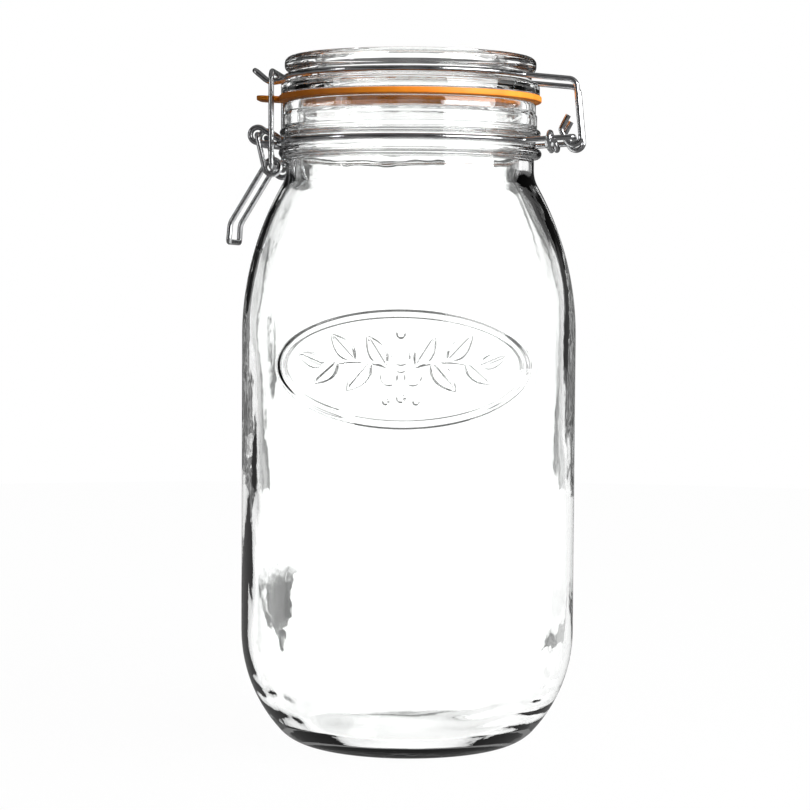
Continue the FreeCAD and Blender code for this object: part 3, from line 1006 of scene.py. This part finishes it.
def dark_strips(tree, place, away):
    """How bright the table glows at a place: 1 on white, 0.06 on a dark strip."""
    turn, _ = unevenly_round(tree, place, scale=9.0, detail=2.0, sway=0.02)
    per_turn = card_count / 2 / math.pi
    repeats = math_node(tree, "MULTIPLY_ADD", turn, per_turn, per_turn * math.radians(view_turn) + 0.5)
    fold = math_node(tree, "SUBTRACT", math_node(tree, "FRACT", repeats), 0.5)
    sideways = math_node(tree, "SINE", math_node(tree, "MULTIPLY", fold, -math.pi / 4))
    beside = math_node(tree, "MULTIPLY", away, sideways)
    beside = math_node(tree, "MULTIPLY_ADD", away, strip_lean, beside)
    strips = span_node(tree, fold, (-0.5, -0.47), (0.0, 1.0))
    close = span_node(tree, beside, strip_inner, (0.0, 1.0))
    far = span_node(tree, away, strip_outer, (1.0, 0.0))
    dark = math_node(tree, "MULTIPLY", strips, math_node(tree, "MULTIPLY", close, far))
    return math_node(tree, "MULTIPLY_ADD", dark, strip_depth, 1.0)


# %% Table
table_radius = 1100
emitted_share = 0.975


def table_glow(tree, path):
    """The white that the table emits, with its strips hidden from the camera."""
    place = tree.nodes.new("ShaderNodeTexCoord").outputs["Object"]
    away = tree.nodes.new("ShaderNodeVectorMath")
    away.operation = "LENGTH"
    tree.links.new(place, away.inputs[0])
    camera_ray = path.outputs["Is Camera Ray"]
    bright = math_node(tree, "MAXIMUM", dark_strips(tree, place, away.outputs["Value"]), camera_ray)
    boost = math_node(tree, "MAXIMUM", glow_through(tree, path), camera_ray)
    glow = tree.nodes.new("ShaderNodeEmission")
    glow.inputs["Color"].default_value = (1, 1, 1, 1)
    tree.links.new(math_node(tree, "MULTIPLY", bright, boost), glow.inputs["Strength"])
    return glow.outputs["Emission"]


def white_table():
    """White that glows to the camera and to glass, and lies in shade for rough surfaces."""
    material, tree, shader = new_material("white_table")
    tint = two_tone(tree, mottled(tree, 6, 0, 1), (0.90, 0.90, 0.90), (0.93, 0.93, 0.93))
    tree.links.new(tint, shader.inputs["Base Color"])
    shader.inputs["Roughness"].default_value = 0.7
    path = tree.nodes.new("ShaderNodeLightPath")
    shade = tree.nodes.new("ShaderNodeBsdfDiffuse")
    shade.inputs["Color"].default_value = (0.14, 0.14, 0.14, 1)
    bounced = math_node(tree, "GREATER_THAN", path.outputs["Diffuse Depth"], 0.5)
    lit = mixed(tree, bounced, shader.outputs["BSDF"], shade.outputs["BSDF"])
    seen = math_node(tree, "MAXIMUM", path.outputs["Is Transmission Ray"], path.outputs["Is Glossy Ray"])
    seen = math_node(tree, "MAXIMUM", path.outputs["Is Camera Ray"], seen)
    seen = math_node(tree, "MULTIPLY", seen, before_rough(tree, path))
    share = math_node(tree, "MULTIPLY", seen, emitted_share)
    whole = mixed(tree, share, lit, table_glow(tree, path))
    tree.links.new(whole, tree.nodes["Material Output"].inputs["Surface"])
    return material


disc = bmesh.new()
bmesh.ops.create_circle(disc, cap_ends=True, segments=96, radius=table_radius)
table = finished("table", disc, white_table(), smooth=False)
table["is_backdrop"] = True


# %% [markdown]
# ## Lamps
#
# Two area lamps do what the world can't: a big box on the right draws the long clean
# highlights on the lid and the neck and lights the rubber, and a narrow strip on the left
# draws a thin line on the wires. They are large and near, so that their mirror images are
# panels and not dots. Their share of diffuse light is turned down, because the soft light
# of the world lights the rubber already.

# %% Lamps
middle_of_jar = Vector((0, 0, 0.2))


def lamp(name, energy, size, place, diffuse):
    """An area lamp that looks at the jar."""
    light = bpy.data.lights.new(name, "AREA")
    light.diffuse_factor = diffuse
    light.energy = energy
    light.shape = "RECTANGLE"
    light.size, light.size_y = size
    holder = bpy.data.objects.new(name, light)
    bpy.context.scene.collection.objects.link(holder)
    holder.location = place
    holder.rotation_euler = (middle_of_jar - Vector(place)).to_track_quat("-Z", "Y").to_euler()
    print(name, energy, "W,", size[0], "by", size[1], "m")


lamp("right_box", energy=15.0, size=(0.95, 0.55), place=(0.88, -0.47, 0.42), diffuse=0.42)
lamp("left_strip", energy=1.2, size=(0.12, 0.7), place=(-0.9, -0.5, 0.35), diffuse=0.1)


# %% [markdown]
# ## Camera
#
# The camera stands before the ornament, turned a few degrees towards the hinge, at two
# thirds of the jar's height, and looks slightly down. It could stand further off with a
# longer lens, but from under a metre the lid and the foot still show as thin ovals.

# %% Camera
lens_length = 103.3
camera_distance = 0.8556
camera_height = 0.1702
camera_pitch = 3.104
camera_roll = -0.358
camera_yaw = 0.1045

view = bpy.data.cameras.new("camera")
view.sensor_width = 36
view.lens = lens_length
camera = bpy.data.objects.new("camera", view)
bpy.context.scene.collection.objects.link(camera)
turn = math.radians(view_turn)
camera.location = (camera_distance * math.sin(turn), -camera_distance * math.cos(turn), camera_height)
camera.rotation_euler = (math.radians(90 - camera_pitch), math.radians(camera_roll),
                         turn + math.radians(camera_yaw))
bpy.context.scene.camera = camera
bpy.context.scene.view_settings.view_transform = "Standard"
print("camera at", [round(v, 3) for v in camera.location])


# %% [markdown]
# ## Sizes and the end
#
# Both boxes, the construction model's and the finished model's, are measured and printed
# side by side. The finished model has to fill the same space as the construction model,
# so both boxes are measured.

# %% Sizes and the end
model_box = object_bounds()
for name, box in (("construction", cad_box), ("model", model_box)):
    print(name, "box", [[round(v / mm, 2) for v in corner] for corner in box])
